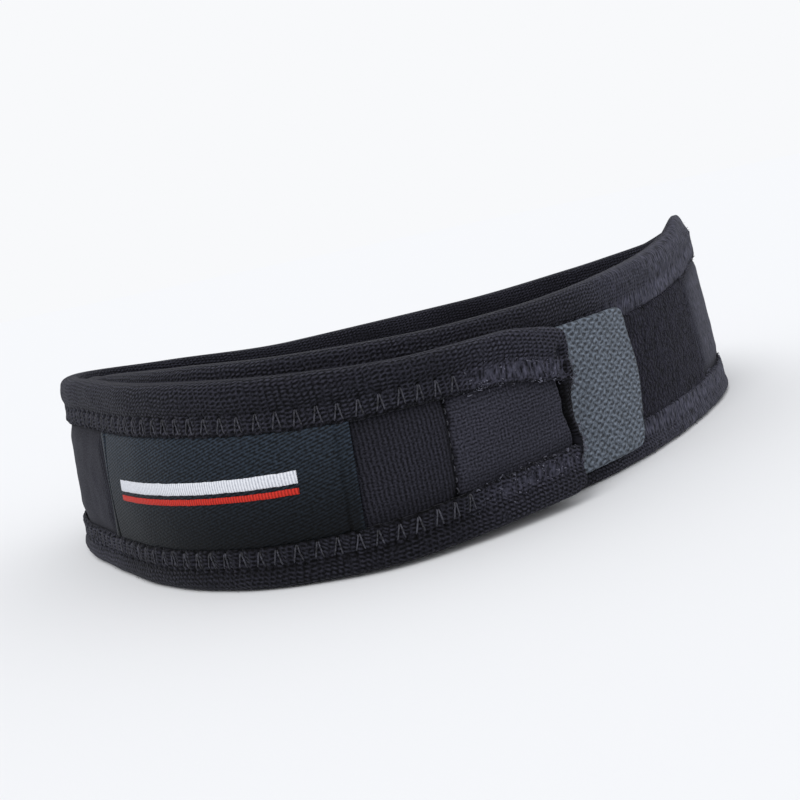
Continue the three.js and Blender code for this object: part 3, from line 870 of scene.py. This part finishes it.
for title, node, edge_at, hem_at, way, seed, face in BINDINGS:
    whole = [binding_patch(hem_at, way, 2, strap_length - 3, 0.2, face - 1.0, side) for side in (1, -1)]
    sewn = [binding_patch(hem_at, way, seam_at + 2, strap_length - 1, -0.2, 3.6)]
    paled = [binding_patch(hem_at, way, *down_on_binding, -0.3, 5.0)]
    # Name, where it grows, kind, fibres in a square mm, their length and radius in mm, and seed
    growths = [
        ("_binding_hairs", whole, hairs, 0.25, 0.45, 0.02, seed),
        ("_pulled_tufts", sewn, tufts, 3.0, 0.8, 0.11, seed + 2),
        ("_raised_down", paled, hairs, 5.0, 1.2, 0.05, seed + 4),
    ]
    for ending, *growth in growths:
        fuzz(title + ending, *growth, "binding_knit")
s, h, r = panel_rings(np.arange(*down_on_panel, 0.8))[:3]
worn_face = on_strap(s, h[:, 6:58], r[:, 6:58] - 0.05)
fuzz("panel_raised_down", [worn_face], hairs, 2.5, 0.9, 0.04, 81, "panel_knit")


# End strips: short pieces of the binding knit folded over the panel's two ends and over the
# ends of the long bindings. The outer one is a soft frayed lip with a deep crease inside it.
# Height as a share of the lip, nose beyond the strap's end, sunk face, tone. The tone is paler where the
# lip is frayed and fuzzy, and darker over its sunk middle as painted shade
LIP_SHAPE = [
    (0.00, -0.7, 0.50, 1.1), (0.10, -0.2, 0.00, 1.9), (0.24, 0.30, -0.15, 2.1),
    (0.34, 0.10, 0.25, 1.1), (0.50, -0.35, 0.70, 0.45), (0.66, -0.20, 0.60, 0.42),
    (0.80, 0.25, 0.05, 1.0), (0.92, 0.00, -0.15, 1.5), (1.00, -0.8, 0.50, 1.0),
]
LIP_NOSE, LIP_SUNK, LIP_TONE = ([(row[0], row[k]) for row in LIP_SHAPE] for k in (1, 2, 3))


def end_lip(name, node, tip, way):
    """Makes one end's piece, and returns the part of its face that can fray"""
    share = np.linspace(0, 1, 120)[:, None]
    low, high = float(foot_hem(np.array(tip))) - 3.8, float(top_hem(np.array(tip))) + 4.2
    levels = low + (high - low) * share
    nose = tip + way * (smooth_table(LIP_NOSE, share) + 0.10 * uneven(levels, 0, 1.6, 32))
    crease = tip - way * end_crease(levels)
    arc = np.linspace(0.5 * math.pi, -0.5 * math.pi, 19)[None, :]
    full = half_band + 0.16 + 0.07 * uneven(levels, 0, 2.0, 33)
    sunk = smooth_table(LIP_SUNK, share)
    shoulder = nose - way * 0.9
    s_nose = shoulder + (nose - shoulder) * np.cos(arc)
    r_nose = full * np.sin(arc) - sunk * np.clip(np.sin(arc), 0, 1) ** 2
    front = np.linspace(0, 1, 6)[None, :-1]
    s_front = crease + (shoulder - crease) * front
    r_front = full - sunk - 0.75 * (1 - front) ** 2.5 + 0 * crease
    s_in = crease + 0 * np.array([[0.0, 0.0]])
    r_in = np.array([[-0.8, 0.2]]) * full
    s = np.concatenate([s_front, s_nose, s_in], axis=1)
    r = np.concatenate([r_front, r_nose, r_in], axis=1)
    r = r * np.sqrt(np.clip(1 - (2 * share - 1) ** 14, 0.03, 1))
    fray = 0.05 * uneven(levels, s, 0.9, 36)
    # Painted shade: the tone falls towards the crease inside the lip
    lit = smoothstep((s - crease) * way, 0.1, 1.5)
    tone = smooth_table(LIP_TONE, share) * (0.3 + 0.7 * lit) * (1 + 0.35 * uneven(levels, s, 1.3, 34))
    rings = (s, levels + 0 * s, r + fray, levels + 0 * s, layer_offset(s), np.maximum(0.12, tone))
    piece = wrapped_cloth(name, rings, binding_knit)
    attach(piece, "root")
    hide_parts(node)
    front = np.linspace(0.50, 0.12, 5)[None, :] * math.pi
    nap_r = full * np.sin(front) - sunk * np.sin(front) ** 2
    return on_strap(shoulder + (nose - shoulder) * np.cos(front), levels + 0 * front, nap_r)


outer_fringe = end_lip("outer_end_cloth", "outer_end_strip", strap_length, 1)
end_lip("inner_end_cloth", "inner_end_strip", 0.0, -1)
frayed = [outer_fringe[5:46], outer_fringe[84:116]]
fuzz("outer_end_fringe", frayed, hairs, 8.0, 0.7, 0.035, 71, "binding_knit")


# Loop field: a strip of brushed loop pile laid on the inner layer's outer face, where the hooks
# catch. Its nap is the darkest and softest of the cloths, with short loops standing out of it.

# Brushed loop pile: soft tufts about 0.6 mm across and broader drifts of nap, near black
loop_pile, tree, shader, cloth = cloth_material("brushed_loop_pile", 0.95, 0.12, "#b3b4c8")
nap = calc(tree, "MULTIPLY_ADD", lumps_of(tree, cloth, 1.6, 3.0), 1.5, 0.5)
nap = calc(tree, "MULTIPLY_ADD", lumps_of(tree, cloth, 0.35), 0.5, nap)
dress(tree, shader, nap, "#050508", "#22212c", 0.25)


def laid_rings(s, low, high, under, thick, rows, relief, off, tone):
    """A thin sheet laid on the band's face. relief and tone are read at each (s, h)."""
    share = np.r_[np.linspace(0, 1, rows), np.linspace(1, 0, 8)][None, :]
    front = np.r_[np.ones(rows), np.zeros(8)][None, :]
    h = low + (high - low) * share
    edge = smoothstep(np.minimum(share, 1 - share) * (high - low), 0, 0.35)
    r = under + front * (thick * (0.45 + 0.55 * edge) + relief(s, h))
    return s, h, r, h, off, tone(s, h)


def pile_relief(s, h):
    return 0.05 * uneven(s, h, 3.0, 41) + 0.04 * uneven(s, h, 1.3, 42)


def pile_tone(s, h):
    """Uneven nap, paler along the field's far end"""
    return 1 + 0.2 * uneven(s, h, 6.0, 43) + 0.6 * bell(s, loop_start + loop_length, 0.8)


def field_top(s):
    return top_hem(s) + 0.1


field_s = np.linspace(loop_start, loop_start + loop_length, 240)[:, None]
field_low = foot_face - 1.2
loop_piece = wrapped_cloth("loop_pile_field", laid_rings(
    field_s, field_low, field_top(field_s), half_slot, loop_thick, 40, pile_relief,
    layer_offset(field_s), pile_tone), loop_pile)
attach(loop_piece, "root")
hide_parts("loop_field")
nap_s = np.arange(loop_start + 0.5, loop_start + loop_length - 0.4, 0.8)[:, None]
nap_h = field_low + 0.3 + (field_top(nap_s) - field_low - 0.6) * np.linspace(0, 1, 12)[None, :]
nap_face = on_strap(nap_s, nap_h, half_slot + loop_thick - 0.05)
pile_hair = fuzz_tree("pile_loops", loop_pile, looped=True)
fuzz("loop_pile_nap", [nap_face], pile_hair, 1.5, 0.6, 0.05, 44, "loop_pile")


# Hook tab: grey hook tape sewn under the tail, with the woven back of the tape facing out. It
# stands past the end, so that fingers can lift it, and its free edge has gone a little slack.
hook_height, hook_foot, hook_length = 23.2, 2.6, 40.5
# The free end's outline: height in mm, and how far along the strap it reaches
TAB_END = [
    (2.6, 129.3), (2.9, 130.4), (3.7, 131.4), (5.0, 132.0), (7.7, 132.4), (10.6, 132.8), (13.8, 133.1),
    (16.3, 133.0), (19.0, 132.5), (21.6, 131.9), (23.7, 131.6), (25.2, 131.1), (25.8, 129.9),
]
# Woven nylon hook tape: the hooks' roots show as pale pebbles on slate grey, in rows 0.7 mm
# apart, each row set 0.9 mm on from the last
hook_tape, tree, shader, cloth = cloth_material("woven_nylon_hook_tape", 0.6, 0.10, "#d3dbe6")
shader.inputs["Specular IOR Level"].default_value = 0.3
yarn = drift_of(tree, cloth, 0.7, 0.45)
one = rows_of(tree, yarn, 0.57, 0.72)
two = rows_of(tree, yarn, 0.57, -0.72)
three = rows_of(tree, yarn, 0.29, 1.42)
four = rows_of(tree, yarn, 0.29, -1.42)
pebbles = calc(tree, "MULTIPLY_ADD", calc(tree, "ADD", one, two), 0.14, 0.42)
pebbles = calc(tree, "MULTIPLY_ADD", calc(tree, "ADD", three, four), 0.10, pebbles)
pebbles = calc(tree, "MULTIPLY_ADD", lumps_of(tree, cloth, 2.4), 0.95, pebbles)
dress(tree, shader, pebbles, "#22272f", "#747e8c", 0.28, spread=(0.15, 0.95))
tab_from = overlap_length - hook_hidden
tab_share = np.linspace(0, 1, 110)[:, None]
tab_ring_h = np.r_[np.linspace(0, 1, 60), np.linspace(1, 0, 8)][None, :]
tab_end = smooth_table(TAB_END, hook_foot + hook_height * tab_ring_h)
tab_s = tab_from + (tab_end - tab_from) * tab_share
tab_top = hook_foot + hook_height - 2.2 * (1 - smoothstep(tab_s, 108.5, 113.0))


def tab_relief(s, h):
    return 0.10 * uneven(s, h, 12.0, 51)


def tab_tone(s, h):
    """Painted shade: the tape is darker where it comes out from under the tail"""
    # Painted shade under the tail's edge
    shade = 1 - smoothstep(s, overlap_length, overlap_length + 2.5)
    return 1.0 + 0.10 * uneven(s, h, 5.0, 52) - 0.35 * shade


hook_piece = wrapped_cloth("hook_tab_tape", laid_rings(
    tab_s, hook_foot, tab_top, half_band + clearance, hook_thick, 60, tab_relief, 0.0, tab_tone),
    hook_tape)
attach(hook_piece, "root")
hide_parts("hook_tab")


# Label: satin twill, deep blue black, its short sides turned under and sewn flat, its long sides
# tucked under the hems of the bindings. It carries two plain woven stripes and nothing else.
label_tuck, label_sunk, label_extra = 0.6, 0.1, 0.2
# Polyester satin twill: ridges 0.43 mm apart climb slowly to the right, with a soft blue shine
label_twill, tree, shader, cloth = cloth_material("polyester_satin_twill", 0.55, 0.05, "#b7c6d8")
yarn = drift_of(tree, cloth, 0.2, 0.4)
twill = rows_of(tree, yarn, 0.78, -2.18)
weft = rows_of(tree, cloth, 0.63, 1.25)
fine = calc(tree, "MULTIPLY_ADD", twill, 0.19, 0.46)
fine = calc(tree, "MULTIPLY_ADD", weft, 0.07, fine)
fine = calc(tree, "MULTIPLY_ADD", lumps_of(tree, cloth, 2.4), 0.9, fine)
dress(tree, shader, fine, "#06080b", "#222a34", 0.10)
label_to = seam_at - label_to_seam
label_from = label_to - label_length
label_s = np.r_[np.linspace(label_from, label_from + 2.2, 14),
                np.linspace(label_from + 2.6, label_to - 2.6, 100),
                np.linspace(label_to - 2.2, label_to, 14)][:, None]
label_low = foot_hem(label_s) + label_inset - label_tuck
label_high = top_hem(label_s) - label_inset + label_tuck


def label_relief(s, h):
    """Sewn-down side hems, and a soft crown that tips the upper half to the light"""
    side = np.minimum(s - label_from, label_to - s)
    up = (h - foot_hem(s)) / (top_hem(s) - foot_hem(s))
    crown = 0.50 * np.clip(np.sin(math.pi * np.clip(up, 0, 1)), 0, 1) * smoothstep(side, 0, 2.0)
    hem = 0.12 * bell(side, 0.8, 0.7) - 0.24 * bell(side, 1.7, 0.22)
    return crown + hem + 0.05 * uneven(s, h, 9.0, 61)


def label_tone(s, h):
    """Painted shade and sheen: darker towards the foot and paler to the top, as the satin takes light from
    above; a painted highlight on the turned edge; a dark line where the hem is stitched down, partly the
    stitches and partly painted shade in their groove; and painted shade along the foot, where the label
    goes under the hem
    """
    up = (h - foot_hem(s)) / (top_hem(s) - foot_hem(s))
    side = np.minimum(s - label_from, label_to - s)
    # Painted shade in the stitched groove and along the foot under the hem
    dip = bell(side, 1.7, 0.25) + 0.5 * bell(up, 0, 0.05)
    # Painted shade and sheen from foot to top, and a painted highlight on the turned edge
    return 0.31 + 1.38 * smoothstep(up, 0.0, 1.05) + 0.5 * bell(side, 0.12, 0.25) - 0.25 * dip


label_piece = wrapped_cloth("twill_label", laid_rings(
    label_s, label_low, label_high, half_panel - label_sunk, label_thick + label_extra, 40,
    label_relief, layer_offset(label_s), label_tone), label_twill)
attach(label_piece, "root")
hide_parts("woven_label")

# Rayon floss: the stripes are satin stitched, with short shiny threads laid side by side across
# each stripe, 0.4 mm apart. Colour, its darker gaps, lower edge and height in mm
STRIPES = [("white", "#dcdee4", "#a2a5ae", 14.5, 1.8), ("red", "#c43126", "#7d1a14", 13.0, 0.9)]
stripe_from, stripe_to = turn_length + 37.0, turn_length + 71.0
for title, light, dark, low, tall in STRIPES:
    floss, tree, shader, cloth = cloth_material("rayon_floss_" + title, 0.45, 0.0, "#ffffff")
    strands = calc(tree, "MULTIPLY_ADD", rows_of(tree, cloth, 1 / 0.4, 0.25), 0.25, 0.6)
    strands = calc(tree, "MULTIPLY_ADD", lumps_of(tree, cloth, 3.0), 0.5, strands)
    dress(tree, shader, strands, dark, light, 0.08)
    s = np.arange(stripe_from, stripe_to, 0.2)[:, None]
    ragged = 0.05 * uneven(s, 0, 0.9, int(10 * low))
    arc = np.linspace(0, math.pi, 11)[None, :]
    h = low + tall * (0.5 - 0.5 * np.cos(arc)) + ragged
    base = half_panel - label_sunk + label_thick + label_extra + label_relief(s, h)
    from_middle = 2 * (s - stripe_from) / (stripe_to - stripe_from) - 1
    ends = np.sqrt(np.clip(1 - from_middle ** 40, 0.05, 1))
    h = np.concatenate([h, h[:, ::-1]], axis=1)
    r = np.concatenate([base + 0.17 * np.sin(arc) ** 0.6 * ends, base[:, ::-1] - 0.12], axis=1)
    piece = wrapped_cloth("label_stripe_" + title, (s, h, r, h, layer_offset(s), 1.0), floss)
    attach(piece, "root")
